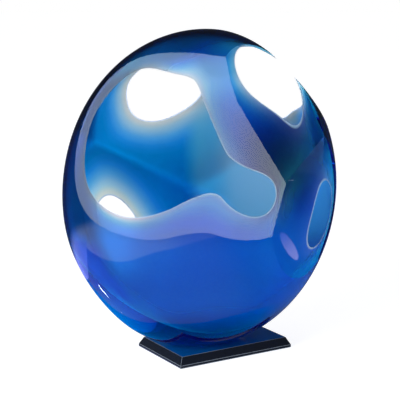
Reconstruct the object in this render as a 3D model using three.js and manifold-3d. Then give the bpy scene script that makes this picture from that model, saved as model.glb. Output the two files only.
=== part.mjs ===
// A hollow blown glass form, cut by flat polished facets and bonded to a bevelled plate.
// Millimetres, +Z up. X runs along the plate's long side and the front is -Y.
// The origin is the centre of the plate's underside.
import * as THREE from 'three';
import { mergeVertices } from 'three/addons/utils/BufferGeometryUtils.js';
import { ConvexGeometry } from 'three/addons/geometries/ConvexGeometry.js';
import Module from 'manifold-3d';

// ---- bevelled plate ----
const PLATE_LENGTH = 113.7;      // along X, at the vertical band of the edge
const PLATE_WIDTH = 73.4;        // along Y
const PLATE_HEIGHT = 9.3;
const PLATE_BAND_TOP = 2.7;      // the edge is upright up to here, then bevelled
const PLATE_BEVEL_INSET = 3.56;  // how far the bevel leans in at the top face
const PLATE_ARRIS = 0.5;         // small ground arris round the underside

// ---- clear bond between plate and glass ----
const BOND_THICKNESS = 0.3;
const BOND_INSET = 1.6;          // the film stops this far inside the ground foot

// ---- blown outer surface ----
const BODY_CENTRE = [-12.0, 0.48, 142.8];
const BODY_AXES = [126.06, 91.22, 137.0];

// ---- inner bubble ----
const BUBBLE_CENTRE = [-24.52, -11.59, 151.21];
const BUBBLE_AXES = [104.55, 68.45, 114.49];
const BUBBLE_TURN = [-0.1551, -0.3098, -0.1229];   // rotation vector, radians

// ---- hand-blown swell of both surfaces ----
// Each surface is an ellipsoid whose radius is scaled by 1 + a sum of round
// swells, centred on an even spiral of directions.
const OUTER_SWELL_WIDTH = 0.36;
const OUTER_SWELL = [
  0.033, 0.0102, -0.0463, -0.0364, -0.028, -0.0167, 0.0827, 0.0169, 0.1378,
  -0.0583, 0.0366, -0.1684, 0.0291, -0.0528, 0.0076, -0.0046, -0.0521, 0.0299,
  0.009, 0.0127, -0.023, -0.0028, 0.0137, -0.0168, 0.1505, -0.0205, -0.0012,
  -0.0255, 0.0129, -0.0528, -0.0056, 0.0074, -0.0418, 0.0128, 0.0088, -0.0017,
  0.001, 0.0365, 0.0018, -0.0063, 0.0539, -0.0052, 0.0005, -0.0033, 0.0021,
  -0.051, -0.0011, 0.0069, -0.0042, -0.0035, -0.0269, 0.0074, -0.0046, -0.0422,
  0.0019, 0.0365, -0.0093, 0.0033, 0.0094, -0.0063, -0.0147, 0.022, -0.0002,
  0.016, 0.0043, 0.0041, -0.0032, 0.0029, -0.0119, -0.0054, -0.0019, 0.0027,
];
const BUBBLE_SWELL_WIDTH = 0.3;
const BUBBLE_SWELL = [
  0.1196, -0.1202, 0.1047, 0.0998, 0.0095, -0.2841, -0.1478, -0.1346, -0.2878, 0.1924,
  0.2852, 0.0766, 0.0601, 0.5044, 0.1033, -0.0082, 0.2014, -0.2305, -0.3771, 0.1112,
  0.0658, -0.2159, -0.2308, -0.2687, -0.175, 0.1214, 0.2656, -0.2424, -0.0239, 0.0338,
  0.2811, 0.5413, 0.0089, -0.1399, -0.1087, 0.3297, 0.296, 0.0911, -0.1175, -0.0714,
  0.1461, 0.0589, 0.1445, -0.2391, -0.3396, 0.1193, 0.0763, -0.1935, -0.1734, -0.2043,
  -0.0516, 0.0118, -0.0659, -0.1716, -0.0185, -0.1798, 0.023, 0.1166, -0.1855, 0.0128,
  0.2165, 0.1022, 0.1218, -0.0791, 0.1345, 0.2152, 0.0964, -0.0386, 0.2042, 0.0319,
  0.0743, 0.2222, -0.0702, -0.1478, 0.027, -0.0074, 0.2335, -0.0985, -0.248, -0.0401,
  0.0283, -0.3123, -0.0598, -0.163, -0.1655, 0.0014, 0.284, -0.0882, -0.0112, -0.1362,
  0.1023, 0.3066, -0.0485, 0.044, 0.1314, 0.0381, 0.1221, -0.0497, -0.0209, -0.2294,
  0.0522, -0.0712, 0.1397, -0.0877, -0.1907, 0.1806, -0.0353, 0.0077, 0.1034, 0.0417,
  -0.0052, 0.0253, 0.318, -0.265, 0.0809, -0.1937, 0.0067, -0.1371, 0.2629, -0.0499,
];

// ---- flat cuts ----
// Azimuth is measured from the front (-Y) towards +X, elevation upwards; the
// last number is the plane's distance from BODY_CENTRE, in mm.
const CUTS = {
  front_left: [-41.8, 22.35, 88.7],
  front_right: [-2.19, 12.93, 80.58],
  upper_right: [11.76, 19.73, 85.02],
  lower_right: [22.2, 0.89, 85.9],
  back_upper: [174.65, 26.75, 72.79],
  back_lower_left: [-159.8, -23.49, 66.54],
  crown_right: [115.0, 42.0, 94.6],
};

// ---- mesh fineness ----
const OUTER_DETAIL = 15;
const BUBBLE_DETAIL = 15;

const wasm = await Module();
wasm.setup();

function toSolid(geometry) {
  const g = geometry.clone();
  g.deleteAttribute('normal');
  g.deleteAttribute('uv');
  const m = mergeVertices(g, 1e-4);
  return new wasm.Manifold(new wasm.Mesh({
    numProp: 3,
    vertProperties: new Float32Array(m.attributes.position.array),
    triVerts: new Uint32Array(m.index.array),
  }));
}

function toGeometry(solid) {
  const mesh = solid.getMesh();
  const g = new THREE.BufferGeometry();
  g.setAttribute('position', new THREE.BufferAttribute(new Float32Array(mesh.vertProperties), 3));
  g.setIndex(new THREE.BufferAttribute(new Uint32Array(mesh.triVerts), 1));
  g.computeVertexNormals();
  return g;
}

// even spiral of n directions on the unit sphere
function spiral(n) {
  const out = [];
  for (let i = 0; i < n; i++) {
    const z = 1 - (2 * (i + 0.5)) / n;
    const r = Math.sqrt(1 - z * z);
    const t = Math.PI * (1 + Math.sqrt(5)) * (i + 0.5);
    out.push([r * Math.cos(t), r * Math.sin(t), z]);
  }
  return out;
}

// a closed blown surface: unit sphere direction -> swollen ellipsoid
function blownSurface(detail, centre, axes, turn, swell, width) {
  const nodes = spiral(swell.length);
  const g = new THREE.IcosahedronGeometry(1, detail);
  const pos = g.attributes.position;
  const q = new THREE.Quaternion();
  const v = new THREE.Vector3(...turn);
  if (v.length() > 0) q.setFromAxisAngle(v.clone().normalize(), v.length());
  const p = new THREE.Vector3();
  for (let i = 0; i < pos.count; i++) {
    p.fromBufferAttribute(pos, i).normalize();
    let k = 1;
    for (let j = 0; j < nodes.length; j++) {
      const dx = p.x - nodes[j][0], dy = p.y - nodes[j][1], dz = p.z - nodes[j][2];
      k += swell[j] * Math.exp(-(dx * dx + dy * dy + dz * dz) / (2 * width * width));
    }
    p.set(p.x * axes[0] * k, p.y * axes[1] * k, p.z * axes[2] * k).applyQuaternion(q);
    pos.setXYZ(i, p.x + centre[0], p.y + centre[1], p.z + centre[2]);
  }
  return g;
}

// everything beyond one flat cut, as a large block standing on the plane
function beyond([azimuth, elevation, distance]) {
  const a = THREE.MathUtils.degToRad(azimuth);
  const e = THREE.MathUtils.degToRad(elevation);
  const n = new THREE.Vector3(Math.sin(a) * Math.cos(e), -Math.cos(a) * Math.cos(e), Math.sin(e));
  const size = 500;
  const g = new THREE.BoxGeometry(size, size, size);
  g.translate(0, 0, size / 2);
  g.applyQuaternion(new THREE.Quaternion().setFromUnitVectors(new THREE.Vector3(0, 0, 1), n));
  g.translate(
    BODY_CENTRE[0] + n.x * distance,
    BODY_CENTRE[1] + n.y * distance,
    BODY_CENTRE[2] + n.z * distance);
  return g;
}

// ---- glass body ----
const footZ = PLATE_HEIGHT + BOND_THICKNESS;
let glass = toSolid(blownSurface(
  OUTER_DETAIL, BODY_CENTRE, BODY_AXES, [0, 0, 0], OUTER_SWELL, OUTER_SWELL_WIDTH));
glass = glass.subtract(toSolid(blownSurface(
  BUBBLE_DETAIL, BUBBLE_CENTRE, BUBBLE_AXES, BUBBLE_TURN, BUBBLE_SWELL, BUBBLE_SWELL_WIDTH)));
for (const cut of Object.values(CUTS)) glass = glass.subtract(toSolid(beyond(cut)));
const below = new THREE.BoxGeometry(500, 500, 100);
below.translate(0, 0, footZ - 50);
glass = glass.subtract(toSolid(below));

// ---- ground foot and its bond film ----
// The foot is where the outer surface meets the plane z = footZ.
const foot = Math.sqrt(1 - ((BODY_CENTRE[2] - footZ) / BODY_AXES[2]) ** 2);
const film = new THREE.CylinderGeometry(1, 1, BOND_THICKNESS, 72);
film.rotateX(Math.PI / 2);
film.scale(BODY_AXES[0] * foot - BOND_INSET, BODY_AXES[1] * foot - BOND_INSET, 1);
film.translate(BODY_CENTRE[0], BODY_CENTRE[1], PLATE_HEIGHT + BOND_THICKNESS / 2);

// ---- bevelled plate ----
function ring(z, inset) {
  const x = PLATE_LENGTH / 2 - inset, y = PLATE_WIDTH / 2 - inset;
  return [[-x, -y], [x, -y], [x, y], [-x, y]].map(([a, b]) => new THREE.Vector3(a, b, z));
}
const plate = new ConvexGeometry([
  ...ring(0, PLATE_ARRIS),
  ...ring(PLATE_ARRIS, 0),
  ...ring(PLATE_BAND_TOP, 0),
  ...ring(PLATE_HEIGHT, PLATE_BEVEL_INSET),
]);

function part(name, geometry, material) {
  const mesh = new THREE.Mesh(geometry, material);
  mesh.name = name;
  return mesh;
}

const group = new THREE.Group();
group.add(
  part('glass_body', toGeometry(glass),
    new THREE.MeshStandardMaterial({ color: 0x1457b8, roughness: 0.03, metalness: 0 })),
  part('bond_film', film,
    new THREE.MeshStandardMaterial({ color: 0xdfe9f2, roughness: 0.1, metalness: 0 })),
  part('base_plate', plate,
    new THREE.MeshStandardMaterial({ color: 0x05070b, roughness: 0.04, metalness: 0 })),
);

export default group;
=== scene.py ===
import math
import bpy
import bmesh
import numpy as np
from mathutils import Matrix, Vector


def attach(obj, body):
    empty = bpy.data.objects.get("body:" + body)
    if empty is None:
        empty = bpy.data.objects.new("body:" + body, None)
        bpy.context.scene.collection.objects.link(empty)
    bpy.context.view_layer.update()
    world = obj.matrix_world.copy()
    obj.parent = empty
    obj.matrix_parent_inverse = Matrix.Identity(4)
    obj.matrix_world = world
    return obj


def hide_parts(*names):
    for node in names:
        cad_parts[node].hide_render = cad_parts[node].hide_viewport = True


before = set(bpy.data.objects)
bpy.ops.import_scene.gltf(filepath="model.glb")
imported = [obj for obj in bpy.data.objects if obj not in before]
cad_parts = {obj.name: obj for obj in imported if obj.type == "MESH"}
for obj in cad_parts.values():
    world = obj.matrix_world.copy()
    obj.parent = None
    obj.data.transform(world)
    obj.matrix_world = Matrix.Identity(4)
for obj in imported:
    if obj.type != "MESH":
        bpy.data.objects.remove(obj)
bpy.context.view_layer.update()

scene = bpy.context.scene

# ---------------------------------------------------------------- the CAD's dimensions, mm
PLATE_LENGTH, PLATE_WIDTH, PLATE_HEIGHT = 113.7, 73.4, 9.3
PLATE_BAND_TOP, PLATE_BEVEL_INSET = 2.7, 3.56
BOND_THICKNESS, BOND_INSET = 0.3, 1.6
BODY_CENTRE = np.array([-12.0, 0.48, 142.8])
BODY_AXES = np.array([126.06, 91.22, 137.0])
BUBBLE_CENTRE = np.array([-24.52, -11.59, 151.21])
BUBBLE_AXES = np.array([104.55, 68.45, 114.49])
BUBBLE_TURN = np.array([-0.1551, -0.3098, -0.1229])
OUTER_SWELL_WIDTH = 0.36
OUTER_SWELL = np.array([
    0.033, 0.0102, -0.0463, -0.0364, -0.028, -0.0167, 0.0827, 0.0169, 0.1378,
    -0.0583, 0.0366, -0.1684, 0.0291, -0.0528, 0.0076, -0.0046, -0.0521, 0.0299,
    0.009, 0.0127, -0.023, -0.0028, 0.0137, -0.0168, 0.1505, -0.0205, -0.0012,
    -0.0255, 0.0129, -0.0528, -0.0056, 0.0074, -0.0418, 0.0128, 0.0088, -0.0017,
    0.001, 0.0365, 0.0018, -0.0063, 0.0539, -0.0052, 0.0005, -0.0033, 0.0021,
    -0.051, -0.0011, 0.0069, -0.0042, -0.0035, -0.0269, 0.0074, -0.0046, -0.0422,
    0.0019, 0.0365, -0.0093, 0.0033, 0.0094, -0.0063, -0.0147, 0.022, -0.0002,
    0.016, 0.0043, 0.0041, -0.0032, 0.0029, -0.0119, -0.0054, -0.0019, 0.0027,
])
BUBBLE_SWELL_WIDTH = 0.3
BUBBLE_SWELL = np.array([
    0.1196, -0.1202, 0.1047, 0.0998, 0.0095, -0.2841, -0.1478, -0.1346, -0.2878, 0.1924,
    0.2852, 0.0766, 0.0601, 0.5044, 0.1033, -0.0082, 0.2014, -0.2305, -0.3771, 0.1112,
    0.0658, -0.2159, -0.2308, -0.2687, -0.175, 0.1214, 0.2656, -0.2424, -0.0239, 0.0338,
    0.2811, 0.5413, 0.0089, -0.1399, -0.1087, 0.3297, 0.296, 0.0911, -0.1175, -0.0714,
    0.1461, 0.0589, 0.1445, -0.2391, -0.3396, 0.1193, 0.0763, -0.1935, -0.1734, -0.2043,
    -0.0516, 0.0118, -0.0659, -0.1716, -0.0185, -0.1798, 0.023, 0.1166, -0.1855, 0.0128,
    0.2165, 0.1022, 0.1218, -0.0791, 0.1345, 0.2152, 0.0964, -0.0386, 0.2042, 0.0319,
    0.0743, 0.2222, -0.0702, -0.1478, 0.027, -0.0074, 0.2335, -0.0985, -0.248, -0.0401,
    0.0283, -0.3123, -0.0598, -0.163, -0.1655, 0.0014, 0.284, -0.0882, -0.0112, -0.1362,
    0.1023, 0.3066, -0.0485, 0.044, 0.1314, 0.0381, 0.1221, -0.0497, -0.0209, -0.2294,
    0.0522, -0.0712, 0.1397, -0.0877, -0.1907, 0.1806, -0.0353, 0.0077, 0.1034, 0.0417,
    -0.0052, 0.0253, 0.318, -0.265, 0.0809, -0.1937, 0.0067, -0.1371, 0.2629, -0.0499,
])
# azimuth from -Y towards +X, elevation, distance of the plane from BODY_CENTRE
CUTS = {
    "front_left": (-41.8, 22.35, 88.7),
    "front_right": (-2.19, 12.93, 80.58),
    "upper_right": (11.76, 19.73, 85.02),
    "lower_right": (22.2, 0.89, 85.9),
    "back_upper": (174.65, 26.75, 72.79),
    "back_lower_left": (-159.8, -23.49, 66.54),
    "crown_right": (115.0, 42.0, 94.6),
}
FOOT_Z = PLATE_HEIGHT + BOND_THICKNESS
# the ridge between the two front facets is polished off softly over this width
RIDGE_BLEND = 12.0


def direction(az, el):
    a, e = math.radians(az), math.radians(el)
    return np.array([math.sin(a) * math.cos(e), -math.cos(a) * math.cos(e), math.sin(e)])


def ease(v, lo, hi):
    t = np.clip((v - lo) / (hi - lo), 0, 1)
    return t * t * (3 - 2 * t)


def spiral(n):
    i = np.arange(n) + 0.5
    z = 1 - 2 * i / n
    r = np.sqrt(1 - z * z)
    t = math.pi * (1 + math.sqrt(5)) * i
    return np.c_[r * np.cos(t), r * np.sin(t), z]


class Blown:
    """A blown surface: an ellipsoid whose radius carries a sum of soft swells."""

    def __init__(self, centre, axes, turn, swell, width):
        self.c, self.ax, self.w, self.e = centre, axes, swell, width
        self.nodes = spiral(len(swell))
        a = float(np.linalg.norm(turn))
        self.R = np.array(Matrix.Rotation(a, 3, Vector(turn / a))) if a > 0 else np.eye(3)

    def _radius(self, u, slope=False):
        k = np.empty(len(u))
        g = np.empty((len(u), 3))
        for s in range(0, len(u), 40000):
            q = u[s:s + 40000]
            v = np.exp(-(2 - 2 * q @ self.nodes.T) / (2 * self.e ** 2)) * self.w
            k[s:s + 40000] = 1 + v.sum(1)
            if slope:
                g[s:s + 40000] = (v @ self.nodes - v.sum(1)[:, None] * q) / self.e ** 2
        return (k, g) if slope else k

    def points(self, u):
        return (u * self._radius(u)[:, None] * self.ax) @ self.R.T + self.c

    def _local(self, p):
        q = ((p - self.c) @ self.R) / self.ax
        r = np.linalg.norm(q, axis=1) + 1e-12
        return q, r, q / r[:, None]

    def distance(self, p):
        q, r, u = self._local(p)
        g = np.linalg.norm(q / self.ax, axis=1) / r
        return (r - self._radius(u)) / g

    def normals(self, p):
        _, r, u = self._local(p)
        _, g = self._radius(u, True)
        g = g - (g * u).sum(1)[:, None] * u
        n = ((u - g / r[:, None]) / self.ax) @ self.R.T
        return n / np.linalg.norm(n, axis=1)[:, None]


OUTER = Blown(BODY_CENTRE, BODY_AXES, np.zeros(3), OUTER_SWELL, OUTER_SWELL_WIDTH)
BUBBLE = Blown(BUBBLE_CENTRE, BUBBLE_AXES, BUBBLE_TURN, BUBBLE_SWELL, BUBBLE_SWELL_WIDTH)


# ---------------------------------------------------------------- mesh helpers
def mesh_object(name, verts, faces):
    me = bpy.data.meshes.new(name)
    me.from_pydata([tuple(map(float, v)) for v in verts], [], faces)
    me.update()
    ob = bpy.data.objects.new(name, me)
    scene.collection.objects.link(ob)
    return ob


def blown_object(name, surface, subdivisions):
    bm = bmesh.new()
    bmesh.ops.create_icosphere(bm, subdivisions=subdivisions, radius=1.0)
    me = bpy.data.meshes.new(name)
    bm.to_mesh(me)
    bm.free()
    co = np.empty(len(me.vertices) * 3)
    me.vertices.foreach_get("co", co)
    u = co.reshape(-1, 3)
    u = u / np.linalg.norm(u, axis=1)[:, None]
    me.vertices.foreach_set("co", surface.points(u).ravel())
    me.update()
    ob = bpy.data.objects.new(name, me)
    scene.collection.objects.link(ob)
    return ob


def block_beyond(name, az, el, dist, size=600.0):
    """Everything beyond one flat cut."""
    n = direction(az, el)
    x = np.cross(n, [0.0, 0.0, 1.0])
    x /= np.linalg.norm(x)
    y = np.cross(n, x)
    o = BODY_CENTRE + n * dist
    h = size / 2
    v = [o + x * a * h + y * b * h + n * c for c in (0, size) for a, b in ((-1, -1), (1, -1), (1, 1), (-1, 1))]
    f = [(0, 3, 2, 1), (4, 5, 6, 7), (0, 1, 5, 4), (1, 2, 6, 5), (2, 3, 7, 6), (3, 0, 4, 7)]
    return mesh_object(name, v, f)


N_F, D_F = direction(*CUTS["front_left"][:2]), CUTS["front_left"][2]
N_G, D_G = direction(*CUTS["front_right"][:2]), CUTS["front_right"][2]


def ridge_cutter(name, reach=400.0, strips=36):
    """Everything beyond both front facets, with the ridge between them rounded off."""
    k = RIDGE_BLEND
    pts = [(0.0, -reach)]
    for d in np.linspace(k, -k, strips + 1):
        h = (k - abs(d)) / k
        top = -h * h * k / 4
        pts.append((top, top - d) if d >= 0 else (top + d, top))
    pts.append((-reach, 0.0))
    c = float(N_F @ N_G)
    inv = np.linalg.inv(np.array([[1, c], [c, 1]]))
    t = np.cross(N_F, N_G)
    t /= np.linalg.norm(t)
    ring = []
    for s1, s2 in pts:
        a, b = inv @ np.array([s1 + D_F, s2 + D_G])
        ring.append(BODY_CENTRE + a * N_F + b * N_G)
    ring.append(BODY_CENTRE + (N_F + N_G) * reach)
    n = len(ring)
    verts = [p + t * s for s in (-reach, reach) for p in ring]
    faces = []
    for i in range(n):
        j = (i + 1) % n
        faces += [(i, j, n + j), (i, n + j, n + i)]
    hub = n - 1
    for i in range(n - 2):
        faces += [(hub, i + 1, i), (n + hub, n + i, n + i + 1)]
    ob = mesh_object(name, verts, faces)
    bm = bmesh.new()
    bm.from_mesh(ob.data)
    bmesh.ops.recalc_face_normals(bm, faces=bm.faces)
    bm.to_mesh(ob.data)
    bm.free()
    return ob


def subtract_all(base, cutters):
    for i, c in enumerate(cutters):
        m = base.modifiers.new(f"cut{i}", "BOOLEAN")
        m.operation = "DIFFERENCE"
        m.solver = "MANIFOLD"
        m.object = c
    dg = bpy.context.evaluated_depsgraph_get()
    me = bpy.data.meshes.new_from_object(base.evaluated_get(dg))
    for o in [base, *cutters]:
        old = o.data
        bpy.data.objects.remove(o)
        bpy.data.meshes.remove(old)
    return me


# ---------------------------------------------------------------- the glass form
def glass_mesh():
    subs = 7
    outer = blown_object("tmp_outer", OUTER, subs)
    bubble = blown_object("tmp_bubble", BUBBLE, subs)
    cutters = [bubble, ridge_cutter("tmp_ridge")]
    cutters += [block_beyond("tmp_" + k, *CUTS[k]) for k in CUTS if k not in ("front_left", "front_right")]
    s = 300.0
    v = [(x, y, z) for z in (FOOT_Z - 100, FOOT_Z) for x, y in ((-s, -s), (s, -s), (s, s), (-s, s))]
    f = [(0, 3, 2, 1), (4, 5, 6, 7), (0, 1, 5, 4), (1, 2, 6, 5), (2, 3, 7, 6), (3, 0, 4, 7)]
    cutters.append(mesh_object("tmp_foot", v, f))
    me = subtract_all(outer, cutters)
    me.name = "glass_form"
    bm = bmesh.new()
    bm.from_mesh(me)
    bmesh.ops.remove_doubles(bm, verts=bm.verts, dist=1e-4)
    bmesh.ops.dissolve_degenerate(bm, dist=1e-4, edges=bm.edges)
    bmesh.ops.triangulate(bm, faces=bm.faces)
    bm.to_mesh(me)
    bm.free()
    me.materials.clear()
    return me


def ridge_value(p):
    s1 = (p - BODY_CENTRE) @ N_F - D_F
    s2 = (p - BODY_CENTRE) @ N_G - D_G
    h = np.clip(RIDGE_BLEND - abs(s1 - s2), 0, None) / RIDGE_BLEND
    w = np.where(s1 >= s2, 1 - h / 2, h / 2)
    n = w[:, None] * N_F + (1 - w)[:, None] * N_G
    n /= np.linalg.norm(n, axis=1)[:, None]
    return np.maximum(s1, s2) + h * h * RIDGE_BLEND / 4, n


FLATS = [k for k in CUTS if k not in ("front_left", "front_right")]


def surfaces(p):
    """Distance and outward normal of each surface of the form at the points p."""
    out = [(OUTER.distance(p), OUTER.normals(p)), (BUBBLE.distance(p), -BUBBLE.normals(p)), ridge_value(p)]
    for k in FLATS:
        az, el, d = CUTS[k]
        n = direction(az, el)
        out.append(((p - BODY_CENTRE) @ n - d, np.tile(n, (len(p), 1))))
    out.append((FOOT_Z - p[:, 2], np.tile([0.0, 0.0, -1.0], (len(p), 1))))
    return out


def dress_normals(me):
    """Gives each face corner the true normal of the surface that its face lies on."""
    nv, nf = len(me.vertices), len(me.polygons)
    co = np.empty(nv * 3)
    me.vertices.foreach_get("co", co)
    co = co.reshape(-1, 3).astype(float)
    tri = np.empty(nf * 3, dtype=np.int32)
    me.loops.foreach_get("vertex_index", tri)
    tri = tri.reshape(-1, 3)
    a, b, c = co[tri[:, 0]], co[tri[:, 1]], co[tri[:, 2]]
    fn = np.cross(b - a, c - a)
    area = np.linalg.norm(fn, axis=1)
    fn /= (area + 1e-12)[:, None]
    mid = (a + b + c) / 3
    scores = []
    for d, n in surfaces(mid):
        scores.append(abs(d) + 3.0 * (1 - (fn * n).sum(1)) * (area > 1e-4))
    kind = np.argmin(np.array(scores), axis=0)
    normal = np.zeros((nf, 3, 3))
    at_vertex = surfaces(co)
    for k, (_, n) in enumerate(at_vertex):
        m = kind == k
        normal[m] = n[tri[m]]
    me.polygons.foreach_set("use_smooth", np.ones(nf, dtype=bool))
    me.normals_split_custom_set(normal.reshape(-1, 3))
    for key, k in (("satin", 1), ("rind", 0)):
        a = me.attributes.new(key, "FLOAT", "FACE")
        a.data.foreach_set("value", (kind == k).astype(np.float32))
    # glass thickness behind the inner surface, in mm
    solid = np.max([d for i, (d, _) in enumerate(at_vertex) if i != 1], axis=0)
    wall = me.attributes.new("wall", "FLOAT", "POINT")
    wall.data.foreach_set("value", np.clip(-solid, 0, 60).astype(np.float32))
    # painted shade: the blue layer is darkened round the meeting of the front cuts
    x, y, z = co.T
    front = ease(-12 - y, 0, 18)
    spot = np.exp(-((x - 20) / np.where(x > 20, 40, 32)) ** 2 - ((z - 170) / np.where(z > 170, 33, 30)) ** 2)
    painted_shade_ridge = (1 - np.exp(-4.6 * spot)) * front
    # painted light: the lower body is painted the bright blue that the light from the floor gives it
    low = ease(x, -135, -90) * front * ease(25 * ease(x, 5, 45) - z, -140, -105)
    low = np.maximum(low, ease(-z, -102, -80))
    low = np.maximum(low, ease(-x, 78, 96) * ease(-z, -126, -104) * (1 - front)) * ease(z, 24, 60)
    # painted light: the layer is painted lighter towards the bubble's right end, where light from the left falls
    # into the cavity
    pale = (0.6 * ease(x, -2, 16) + 0.4 * ease(x, 22, 46)) * ease(y + 12, 0, 15)
    pale = np.maximum(pale, ease(x, 70, 84) * ease(-z, -180, -150))
    # painted light: the layer is painted lighter behind the lower back cut, and a bright but less clear blue in the
    # thick bottom
    cut = [(co - BODY_CENTRE) @ direction(*CUTS[k][:2]) - CUTS[k][2] for k in ("back_lower_left", "back_upper")]
    shade = ease(cut[0] - cut[1], -2.4, 6.8) * ease(y, 0, 20)
    painted_light_bottom = ease(-z, -82, -58) * ease(y, -12, 4)
    right, left = ease(x, 68, 82), ease(-x, 76, 104)
    # painted shade: darker at the upper left; turn makes the glass less clear there and at the lower left back, so
    # that the painted colours show
    wing = ease(-x, 72, 92) * ease(-y, -36, -24) * ease(z, 95, 130) * (1 - front)
    turn = np.maximum(wing, ease(-x, 78, 96) * ease(-z, -128, -106) * (1 - front))
    flank = front * left * ease(z, 116, 134) * ease(-z, -175, -150)
    extra = (("shade", shade), ("painted_light_bottom", painted_light_bottom), ("right", right), ("left", left), ("wing", wing))
    # painted shade: darker at the upper right front (cheek) and along the top at the front (brow)
    cheek = ease(x, 56, 66) * ease(z, 170, 184) * ease(-y, 24, 38)
    brow = front * ease(z, 236, 250) * ease(x, -50, -34)
    extra += (("turn", turn), ("flank", flank), ("cheek", cheek), ("brow", brow))
    for key, v in (("front", front), ("painted_shade_ridge", painted_shade_ridge), ("pale", pale), ("low", low), *extra):
        a = me.attributes.new(key, "FLOAT", "POINT")
        a.data.foreach_set("value", v.astype(np.float32))
    return kind


glass_me = glass_mesh()
kinds = dress_normals(glass_me)
glass_me.transform(Matrix.Scale(0.001, 4))
glass = bpy.data.objects.new("glass_form", glass_me)
scene.collection.objects.link(glass)


# ---------------------------------------------------------------- the plate and its bond
def plate_object():
    """The bevelled plate with a fine polished arris along every edge."""
    x, y = PLATE_LENGTH / 2, PLATE_WIDTH / 2
    i = PLATE_BEVEL_INSET
    rings = [(0.5, 0.0), (0.0, 0.5), (0.0, PLATE_BAND_TOP), (i, PLATE_HEIGHT)]
    bm = bmesh.new()
    mark = bm.faces.layers.float.new("arris")
    loops = []
    for inset, z in rings:
        loops.append([bm.verts.new((a * (x - inset), b * (y - inset), z)) for a, b in ((-1, -1), (1, -1), (1, 1), (-1, 1))])
    bm.faces.new(loops[0][::-1])
    bm.faces.new(loops[-1])
    for lo, hi in zip(loops, loops[1:]):
        for j in range(4):
            k = (j + 1) % 4
            bm.faces.new((lo[j], lo[k], hi[k], hi[j]))
    made = bmesh.ops.bevel(bm, geom=bm.edges[:], offset=0.24, segments=2, profile=0.6, affect="EDGES")
    bmesh.ops.recalc_face_normals(bm, faces=bm.faces)
    for f in made["faces"]:
        f[mark] = 1.0
    me = bpy.data.meshes.new("plate_glass")
    bm.to_mesh(me)
    bm.free()
    me.transform(Matrix.Scale(0.001, 4))
    ob = bpy.data.objects.new("plate_glass", me)
    scene.collection.objects.link(ob)
    for p in me.polygons:
        p.use_smooth = True
    return ob


plate = plate_object()


# ---------------------------------------------------------------- materials
def material(name):
    m = bpy.data.materials.new(name)
    m.use_nodes = True
    return m, m.node_tree.nodes, m.node_tree.links


class Tree:
    """Short forms for the few node kinds that the materials use."""

    def __init__(self, name):
        self.m = bpy.data.materials.new(name)
        self.m.use_nodes = True
        self.n, self.l = self.m.node_tree.nodes, self.m.node_tree.links
        self.b = self.n["Principled BSDF"]
        self.out = self.n["Material Output"]

    def put(self, sock, v):
        if isinstance(v, (int, float)):
            sock.default_value = v
        elif isinstance(v, tuple):
            sock.default_value = (*v, 1.0) if len(v) == 3 and sock.type == "RGBA" else v
        else:
            self.l.new(v, sock)

    def attribute(self, name):
        n = self.n.new("ShaderNodeAttribute")
        n.attribute_name = name
        return n.outputs["Fac"]

    def math(self, op, a, b=0.0, clamp=False):
        n = self.n.new("ShaderNodeMath")
        n.operation, n.use_clamp = op, clamp
        self.put(n.inputs[0], a)
        self.put(n.inputs[1], b)
        return n.outputs[0]

    def step(self, v, lo, hi, a=0.0, b=1.0):
        n = self.n.new("ShaderNodeMapRange")
        n.interpolation_type = "SMOOTHSTEP"
        for k, x in (("Value", v), ("From Min", lo), ("From Max", hi), ("To Min", a), ("To Max", b)):
            self.put(n.inputs[k], x)
        return n.outputs["Result"]

    def mix(self, fac, a, b):
        n = self.n.new("ShaderNodeMix")
        n.data_type = "RGBA"
        self.put(n.inputs[0], fac)
        self.put(n.inputs[6], a)
        self.put(n.inputs[7], b)
        return n.outputs[2]

    def times(self, a, b):
        out = self.mix(1.0, a, b)
        out.node.blend_type = "MULTIPLY"
        return out

    def gain(self, colour, k):
        n = self.n.new("ShaderNodeVectorMath")
        n.operation = "SCALE"
        self.put(n.inputs[0], colour)
        self.put(n.inputs["Scale"], k)
        m = self.n.new("ShaderNodeVectorMath")
        m.operation = "MINIMUM"
        self.l.new(n.outputs[0], m.inputs[0])
        m.inputs[1].default_value = (0.92, 0.92, 0.92)
        return m.outputs[0]

    def rgb(self, r, g, b):
        n = self.n.new("ShaderNodeCombineColor")
        for sock, v in zip(n.inputs, (r, g, b)):
            self.put(sock, v)
        return n.outputs[0]

    def ramp(self, v, stops, span):
        n = self.n.new("ShaderNodeValToRGB")
        self.put(n.inputs["Fac"], self.math("MULTIPLY", v, 1 / span, clamp=True))
        el = n.color_ramp.elements
        while len(el) < len(stops):
            el.new(0.5)
        for e, (x, c) in zip(el, stops):
            e.position = x / span
            e.color = (*c, 1.0)
        return n.outputs["Color"]

    def lerp(self, fac, a, b):
        n = self.n.new("ShaderNodeMix")
        n.data_type = "FLOAT"
        self.put(n.inputs[0], fac)
        self.put(n.inputs[2], a)
        self.put(n.inputs[3], b)
        return n.outputs[0]

    def noise(self, scale, detail=3.0, rough=0.5, offset=(0.0, 0.0, 0.0)):
        tc = self.n.new("ShaderNodeTexCoord")
        mp = self.n.new("ShaderNodeMapping")
        mp.inputs["Location"].default_value = offset
        self.l.new(tc.outputs["Object"], mp.inputs["Vector"])
        n = self.n.new("ShaderNodeTexNoise")
        self.l.new(mp.outputs[0], n.inputs["Vector"])
        n.inputs["Scale"].default_value = scale
        n.inputs["Detail"].default_value = detail
        n.inputs["Roughness"].default_value = rough
        return n.outputs["Fac"]


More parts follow.
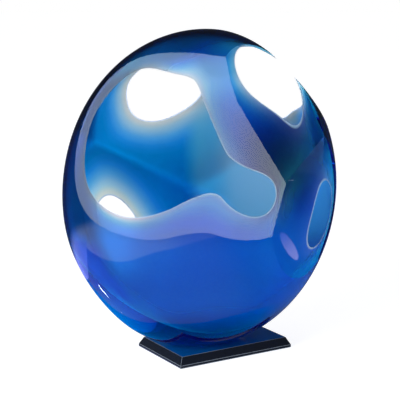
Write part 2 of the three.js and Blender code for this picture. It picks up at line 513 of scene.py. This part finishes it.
# the coloured inner layer of the glass: colour by the layer's local thickness in mm
LAYER = [
    (0.0, (1.0, 1.0, 1.0)),
    (0.25, (0.24, 0.24, 0.26)),
    (0.8, (0.27, 0.225, 0.23)),
    (1.6, (0.25, 0.205, 0.24)),
    (2.5, (0.21, 0.185, 0.28)),
    (3.5, (0.19, 0.158, 0.30)),
    (4.5, (0.125, 0.124, 0.305)),
    (5.5, (0.062, 0.097, 0.32)),
    (6.75, (0.03, 0.073, 0.33)),
    (8.25, (0.007, 0.050, 0.29)),
    (10.0, (0.0015, 0.042, 0.245)),
    (12.0, (0.0, 0.040, 0.21)),
]
# the same for the front wall, where the layer is thinner
FRONT_LAYER = [
    (0.0, (1.0, 1.0, 1.0)),
    (0.6, (0.62, 0.72, 0.90)),
    (1.6, (0.36, 0.64, 0.98)),
    (2.6, (0.12, 0.44, 1.0)),
    (3.8, (0.04, 0.30, 1.0)),
    (4.8, (0.018, 0.20, 0.98)),
    (6.2, (0.004, 0.13, 0.92)),
    (8.0, (0.0, 0.085, 0.75)),
    (11.0, (0.0, 0.04, 0.42)),
]


def blue_glass():
    t = Tree("blue_glass")
    b = t.b
    satin = t.attribute("satin")
    # the layer was laid on by hand, so its thickness drifts a little
    drift = t.step(t.noise(9.0, 4.0, 0.55, (2.0, 9.0, 4.0)), 0.25, 0.75, 0.94, 1.06)
    wall = t.math("MULTIPLY", t.attribute("wall"), drift)
    lw = t.n.new("ShaderNodeLayerWeight")
    facing = lw.outputs["Facing"]
    lw.inputs["Blend"].default_value = 0.5
    # polished skin: clear, with painted shade that deepens it to navy where it turns away upwards
    geo = t.n.new("ShaderNodeNewGeometry")
    sep = t.n.new("ShaderNodeSeparateXYZ")
    t.l.new(geo.outputs["Normal"], sep.inputs[0])
    rim = t.math("MULTIPLY", t.step(facing, 0.25, 0.62), t.step(sep.outputs["Z"], 0.1, 0.6))
    skin = t.mix(rim, (1.0, 1.0, 1.0), (0.0, 0.008, 0.035))
    rind = t.attribute("rind")
    # painted shade: where the skin turns away it is darkened to near-black navy, except underneath
    side = t.math("MULTIPLY", t.step(facing, 0.40, 0.74), t.step(sep.outputs["Z"], -0.5, -0.15))
    skin = t.times(skin, t.mix(t.math("MULTIPLY", rind, side), (1.0, 1.0, 1.0), (0.0, 0.02, 0.06)))
    # painted shade: the top of the skin is darkened
    crown = t.math("MULTIPLY", rind, t.step(sep.outputs["Z"], 0.35, 0.75))
    skin = t.times(skin, t.mix(crown, (1.0, 1.0, 1.0), (0.002, 0.11, 0.25)))
    # painted light: where the skin turns away on the lower side it is tinted a strong blue, as lit from below
    # through the blue glass
    under = t.math("MULTIPLY", t.step(facing, 0.22, 0.5), t.step(sep.outputs["Z"], 0.15, -0.15))
    under = t.math("MULTIPLY", under, t.step(sep.outputs["Z"], -0.75, -0.4))
    skin = t.times(skin, t.mix(t.math("MULTIPLY", rind, under), (1.0, 1.0, 1.0), (0.25, 0.42, 1.0)))
    inner = t.mix(t.attribute("front"), t.ramp(wall, LAYER, 12.0), t.ramp(wall, FRONT_LAYER, 12.0))
    # painted light: behind the lower back cut the layer is painted up to 3.2 times lighter, a little less blue
    shade = t.attribute("shade")
    inner = t.times(t.gain(inner, t.lerp(shade, 1.0, 3.2)), t.mix(shade, (1.0, 1.0, 1.0), (1.0, 1.0, 0.85)))
    # painted light: the lower body is painted bright blue as the floor light shows it, brightest in the thick bottom
    pale, low, painted_light_bottom = t.attribute("pale"), t.attribute("low"), t.attribute("painted_light_bottom")
    lower = t.mix(t.attribute("left"), (0.020, 0.20, 0.93), (0.013, 0.115, 0.76))
    lower = t.mix(t.attribute("front"), (0.010, 0.045, 0.62), lower)
    inner = t.mix(low, inner, t.mix(painted_light_bottom, lower, (0.09, 0.50, 1.0)))
    # painted shade: darker at the upper left
    inner = t.times(inner, t.mix(t.attribute("wing"), (1.0, 1.0, 1.0), (0.5, 0.5, 0.75)))
    inner = t.times(inner, t.mix(t.attribute("flank"), (1.0, 1.0, 1.0), (0.92, 0.55, 0.48)))
    # painted shade: darker along the top at the front
    inner = t.times(inner, t.mix(t.attribute("brow"), (1.0, 1.0, 1.0), (0.15, 0.5, 0.72)))
    # painted shade: the layer is darkened round the meeting of the front cuts, red and green the most
    unshaded = t.math("SUBTRACT", 1.0, t.attribute("painted_shade_ridge"))
    inner = t.times(inner, t.rgb(t.math("POWER", unshaded, 3.0), t.math("POWER", unshaded, 2.6), t.math("POWER", unshaded, 0.9)))
    # painted light: towards the bubble's right end the layer is painted in these lighter colours, greyer behind and
    # bluer in front
    right = t.attribute("right")
    back, fore = t.mix(right, (0.20, 0.235, 0.315), (0.05, 0.22, 0.40)), t.mix(right, (0.30, 0.50, 0.80), (0.07, 0.40, 0.86))
    inner = t.mix(pale, inner, t.mix(t.attribute("front"), back, fore))
    # painted shade: much darker, and less clear, at the upper right front
    inner = t.times(inner, t.mix(t.attribute("cheek"), (1.0, 1.0, 1.0), (0.06, 0.22, 0.45)))
    # painted highlight: the knife edges of the openings are painted pale, where they catch the light
    edge = t.math("MULTIPLY", t.step(wall, 0.12, 0.42, 1.0, 0.0), t.lerp(right, 1.0, 0.5))
    inner = t.mix(edge, inner, (0.72, 0.82, 0.95))
    t.put(b.inputs["Base Color"], t.mix(satin, skin, inner))
    t.put(b.inputs["Specular Tint"], t.mix(satin, (1.0, 1.0, 1.0), (0.05, 0.4, 0.9)))
    smear = t.step(t.noise(26.0, 5.0, 0.6, (5.0, 2.0, 7.0)), 0.45, 0.8, 0.0, 0.012)
    frost = t.step(t.noise(420.0, 3.0, 0.6), 0.3, 0.7, 0.71, 0.79)
    t.put(b.inputs["Roughness"], t.lerp(satin, smear, frost))
    # the glass is made less clear where painted light and painted shade are laid on, so that they show
    clear = t.lerp(low, t.lerp(pale, 0.9, 0.45), t.lerp(painted_light_bottom, 0.62, 0.08))
    clear = t.lerp(t.math("MAXIMUM", t.attribute("turn"), t.attribute("cheek")), clear, 0.2)
    clear = t.lerp(edge, clear, 0.35)
    t.put(b.inputs["Transmission Weight"], t.lerp(satin, 1.0, clear))
    b.inputs["IOR"].default_value = 1.5
    v = t.n.new("ShaderNodeVolumeAbsorption")
    v.inputs["Color"].default_value = (0.0, 0.93, 0.983, 1)
    v.inputs["Density"].default_value = 220.0
    t.l.new(v.outputs[0], t.out.inputs["Volume"])
    return t.m


def black_glass():
    """Near-black blue glass: polished, with ground edges and the faintest smears."""
    t = Tree("black_glass")
    b = t.b
    geo = t.n.new("ShaderNodeNewGeometry")
    sep = t.n.new("ShaderNodeSeparateXYZ")
    t.l.new(geo.outputs["Normal"], sep.inputs[0])
    arris = t.attribute("arris")
    # painted light: the top face is painted blue, as the blue form lights it and shows in it
    top = t.step(sep.outputs["Z"], 0.9, 0.98)
    cloud = t.noise(38.0, 4.0, 0.55)
    painted_blue_light = t.mix(t.step(cloud, 0.3, 0.75), (0.0002, 0.060, 0.200), (0.0004, 0.075, 0.250))
    side = t.mix(cloud, (0.004, 0.006, 0.010), (0.009, 0.011, 0.018))
    body = t.mix(top, side, painted_blue_light)
    t.put(b.inputs["Base Color"], t.mix(arris, body, (0.10, 0.12, 0.15)))
    smear = t.noise(160.0, 5.0, 0.6, (3.0, 1.0, 2.0))
    t.put(b.inputs["Roughness"], t.lerp(arris, t.step(smear, 0.35, 0.8, 0.02, 0.07), 0.45))
    b.inputs["IOR"].default_value = 1.52
    b.inputs["Specular IOR Level"].default_value = 0.25
    return t.m


def clear_bond():
    """Clear adhesive against dark glass, with fine specks of trapped air."""
    t = Tree("clear_bond")
    b = t.b
    fleck = t.step(t.noise(900.0, 2.0, 0.5), 0.62, 0.70)
    drift = t.noise(60.0, 3.0, 0.5, (1.0, 4.0, 0.0))
    t.put(b.inputs["Base Color"], t.mix(fleck, t.mix(drift, (0.008, 0.020, 0.045), (0.014, 0.030, 0.060)), (0.10, 0.16, 0.24)))
    t.put(b.inputs["Roughness"], t.step(drift, 0.3, 0.7, 0.12, 0.28))
    return t.m


glass.data.materials.append(blue_glass())
plate.data.materials.append(black_glass())
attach(glass, "root")
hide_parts("glass_body")
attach(plate, "root")
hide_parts("base_plate")
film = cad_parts["bond_film"]
film.data.materials.clear()
film.data.materials.append(clear_bond())

# ---------------------------------------------------------------- the camera
CAM = np.array([-545.27, -864.79, 331.26]) / 1000
BACK = Vector((-0.51289, -0.83706, 0.19047)).normalized()
RIGHT = Vector((0.8527, -0.5225, 0.0)).normalized()
UP = BACK.cross(RIGHT).normalized()
cam_data = bpy.data.cameras.new("camera")
cam_data.lens, cam_data.sensor_width, cam_data.sensor_fit = 108.0, 36.0, "HORIZONTAL"
cam_data.clip_start, cam_data.clip_end = 0.05, 60.0
camera = bpy.data.objects.new("camera", cam_data)
scene.collection.objects.link(camera)
rot = Matrix((RIGHT, UP, BACK)).transposed().to_4x4()
camera.matrix_world = Matrix.Translation(Vector(CAM)) @ rot
scene.camera = camera

# ---------------------------------------------------------------- floor, lights, world
floor_me = bpy.data.meshes.new("floor")
bm = bmesh.new()
bmesh.ops.create_circle(bm, cap_ends=True, segments=96, radius=8.0)
bm.to_mesh(floor_me)
bm.free()
floor = bpy.data.objects.new("floor", floor_me)
scene.collection.objects.link(floor)
paper = Tree("floor_paper")
m, nodes, links, pb = paper.m, paper.n, paper.l, paper.b
paper.put(pb.inputs["Base Color"], paper.mix(paper.noise(14.0, 6.0, 0.6), (0.34, 0.34, 0.345), (0.37, 0.37, 0.37)))
pb.inputs["Roughness"].default_value = 0.9
pb.inputs["Specular IOR Level"].default_value = 0.0
pb.inputs["Emission Color"].default_value = (1, 1, 1, 1)
path = nodes.new("ShaderNodeLightPath")
glow = nodes.new("ShaderNodeMapRange")
links.new(path.outputs["Is Camera Ray"], glow.inputs["Value"])
glow.inputs["To Min"].default_value = 1.8
glow.inputs["To Max"].default_value = 0.85
links.new(glow.outputs["Result"], pb.inputs["Emission Strength"])
floor.visible_glossy = False
floor.data.materials.append(m)


def panel(name, az, el, dist, width, height, radiance, aim=(-0.012, 0.0, 0.145), glossy=True, transmission=False, diffuse=True):
    d = Vector(direction(az, el))
    light = bpy.data.lights.new(name, "AREA")
    light.shape, light.size, light.size_y = "RECTANGLE", width, height
    light.energy = radiance * math.pi * width * height
    ob = bpy.data.objects.new(name, light)
    scene.collection.objects.link(ob)
    ob.matrix_world = Matrix.Translation(Vector(aim) + d * dist) @ d.to_track_quat("Z", "Y").to_matrix().to_4x4()
    ob.visible_camera = False
    ob.visible_glossy = glossy
    ob.visible_transmission = transmission
    ob.visible_diffuse = diffuse
    return ob


panel("panel_left", -70.0, 14.0, 1.6, 0.45, 0.8, 30.0, glossy=False)

world = bpy.data.worlds.new("studio")
scene.world = world
world.use_nodes = True
wn, wl = world.node_tree.nodes, world.node_tree.links
wn.clear()


def wmath(op, a, b=None, clamp=False):
    n = wn.new("ShaderNodeMath")
    n.operation, n.use_clamp = op, clamp
    for i, v in enumerate((a, b)):
        if v is None:
            continue
        if isinstance(v, (int, float)):
            n.inputs[i].default_value = v
        else:
            wl.new(v, n.inputs[i])
    return n.outputs[0]


def wstep(value, lo, hi):
    n = wn.new("ShaderNodeMapRange")
    n.interpolation_type = "SMOOTHSTEP"
    n.inputs["From Min"].default_value = lo
    n.inputs["From Max"].default_value = hi
    wl.new(value, n.inputs["Value"])
    return n.outputs["Result"]


def wmix(fac, a, b):
    n = wn.new("ShaderNodeMix")
    n.data_type = "RGBA"
    for key, v in (("Factor", fac), ("A", a), ("B", b)):
        sock = [i for i in n.inputs if i.name == key and i.type == ("VALUE" if key == "Factor" else "RGBA")][0]
        if isinstance(v, (int, float)):
            sock.default_value = v
        elif isinstance(v, tuple):
            sock.default_value = (*v, 1.0)
        else:
            wl.new(v, sock)
    return [o for o in n.outputs if o.type == "RGBA"][0]


out = wn.new("ShaderNodeOutputWorld")
bg = wn.new("ShaderNodeBackground")
wl.new(bg.outputs[0], out.inputs[0])
lp = wn.new("ShaderNodeLightPath")
tc = wn.new("ShaderNodeTexCoord")
sep = wn.new("ShaderNodeSeparateXYZ")
wl.new(tc.outputs["Generated"], sep.inputs[0])
az = wmath("MULTIPLY", wmath("ARCTAN2", sep.outputs["X"], wmath("MULTIPLY", sep.outputs["Y"], -1.0)), 180 / math.pi)
el = wmath("MULTIPLY", wmath("ARCSINE", sep.outputs["Z"]), 180 / math.pi)
# one long softbox in front of the form, seen in the two polished front facets
mid = wmath("ADD", 35.5, wmath("MULTIPLY", wmath("ADD", az, 57.0), -22.5 / 86.0))
off = wmath("ABSOLUTE", wmath("SUBTRACT", el, mid))
box = wmath("MULTIPLY", wmath("MULTIPLY", wstep(az, -72.0, -64.0), wmath("SUBTRACT", 1.0, wstep(az, 36.0, 44.0))),
            wmath("SUBTRACT", 1.0, wstep(off, 9.0, 14.0)))
first = wmath("MULTIPLY", lp.outputs["Is Glossy Ray"], wmath("LESS_THAN", lp.outputs["Ray Depth"], 3.5))
# the table below, with a brighter strip beyond its edge at the left front
down = wmath("SUBTRACT", 1.0, wstep(sep.outputs["Z"], -0.44, -0.31))
run = wmath("DIVIDE", -0.1, wmath("MINIMUM", sep.outputs["Z"], -0.05))
edge = wmath("ADD", wmath("MULTIPLY", wmath("MULTIPLY", sep.outputs["X"], run), -0.873),
             wmath("MULTIPLY", wmath("MULTIPLY", sep.outputs["Y"], run), -0.489))
along = wmath("ADD", wmath("MULTIPLY", wmath("MULTIPLY", sep.outputs["X"], run), -0.489),
              wmath("MULTIPLY", wmath("MULTIPLY", sep.outputs["Y"], run), 0.873))
along = wmath("SUBTRACT", along, 0.01)
edge = wmath("ADD", edge, wmath("MULTIPLY", along, along))
beyond = wstep(edge, 0.0865, 0.0885)
strip = wmix(wstep(along, -0.12, 0.0), (0.7, 0.65, 0.8), (1.3, 1.3, 1.35))
table = wmix(wstep(wmath("MULTIPLY", sep.outputs["X"], run), 0.0, 0.08), (0.30, 0.33, 0.55), (0.10, 0.17, 0.36))
table = wmix(beyond, table, strip)
# the plate, lit blue by the form, as the form's round underside shows it
px, py = wmath("MULTIPLY", sep.outputs["X"], run), wmath("MULTIPLY", sep.outputs["Y"], run)
curve = wmath("ADD", wmath("MULTIPLY", wmath("MULTIPLY", px, px), 10.247), wmath("ADD", wmath("MULTIPLY", px, -0.8351), -0.01102))
under = wmath("MULTIPLY", wstep(px, -0.0222, -0.0200), wstep(wmath("SUBTRACT", py, curve), -0.0008, 0.0012))
under = wmath("MULTIPLY", under, wmath("SUBTRACT", 1.0, wstep(px, 0.07, 0.12)))
table = wmix(under, table, (0.0, 0.26, 0.75))
# blue light that the form throws on the table at its left back, with a straight edge
curve = wmath("ADD", wmath("MULTIPLY", wmath("MULTIPLY", px, px), 4.954), wmath("ADD", wmath("MULTIPLY", px, 1.4719), 0.18706))
thrown = wmath("MULTIPLY", wstep(wmath("SUBTRACT", py, curve), -0.001, 0.002), wmath("SUBTRACT", 1.0, wstep(px, 0.03, 0.05)))
thrown = wmath("MULTIPLY", thrown, wstep(px, -0.20, -0.13))
table = wmix(thrown, table, (0.85, 1.0, 2.6))
mirror = wmix(down, (0.03, 0.035, 0.055), table)
mirror = wmix(box, mirror, (3.4, 3.4, 3.6))
# a small lamp low at the back left
def spot(a0, e0, ra, re):
    da = wmath("DIVIDE", wmath("SUBTRACT", az, a0), ra)
    de = wmath("DIVIDE", wmath("SUBTRACT", el, e0), re)
    r2 = wmath("ADD", wmath("MULTIPLY", da, da), wmath("MULTIPLY", de, de))
    return wmath("SUBTRACT", 1.0, wstep(r2, 0.5, 1.3))


mirror = wmix(spot(-147.3, -48.0, 1.4, 3.1), mirror, (22.0, 24.0, 26.0))
mirror = wmix(spot(-160.0, -54.0, 0.8, 0.7), mirror, (2.5, 2.5, 3.5))
# a slim tilted lamp at the far right
da, de = wmath("SUBTRACT", az, 79.92), wmath("ADD", el, 12.2)
lengthwise = wmath("DIVIDE", wmath("ADD", wmath("MULTIPLY", da, 0.514), wmath("MULTIPLY", de, -0.857)), 0.78)
across = wmath("DIVIDE", wmath("ADD", wmath("MULTIPLY", da, 0.857), wmath("MULTIPLY", de, 0.514)), 0.25)
slim = wmath("ADD", wmath("MULTIPLY", lengthwise, lengthwise), wmath("MULTIPLY", across, across))
petal = wmix(wstep(lengthwise, -1.0, 0.8), (0.5, 0.35, 1.0), (1.9, 1.5, 2.2))
mirror = wmix(wmath("SUBTRACT", 1.0, wstep(slim, 0.75, 1.1)), mirror, petal)
# the room is white behind the form and dim in front of it
toward = direction(-31.5, 11.0)
dot = wmath("MULTIPLY", sep.outputs["X"], float(toward[0]))
for k, axis in ((1, "Y"), (2, "Z")):
    dot = wmath("ADD", dot, wmath("MULTIPLY", sep.outputs[axis], float(toward[k])))
room = wmix(wstep(dot, -0.15, 0.6), (1.0, 1.0, 1.0), (0.16, 0.18, 0.22))
room = wmix(wstep(sep.outputs["Z"], 0.4, 0.8), room, (0.3, 0.32, 0.38))
room = wmix(lp.outputs["Is Camera Ray"], room, (1.0, 1.0, 1.0))
look = wmix(first, room, mirror)
wl.new(look, bg.inputs["Color"])
bg.inputs["Strength"].default_value = 1.0

# ---------------------------------------------------------------- light transport
scene.view_settings.view_transform = "Standard"
scene.view_settings.look = "None"
c = scene.cycles
c.max_bounces, c.transmission_bounces, c.glossy_bounces, c.diffuse_bounces = 24, 24, 12, 4
c.transparent_max_bounces = 8
c.volume_bounces = 0
c.sample_clamp_indirect = 8.0
c.use_denoising = True
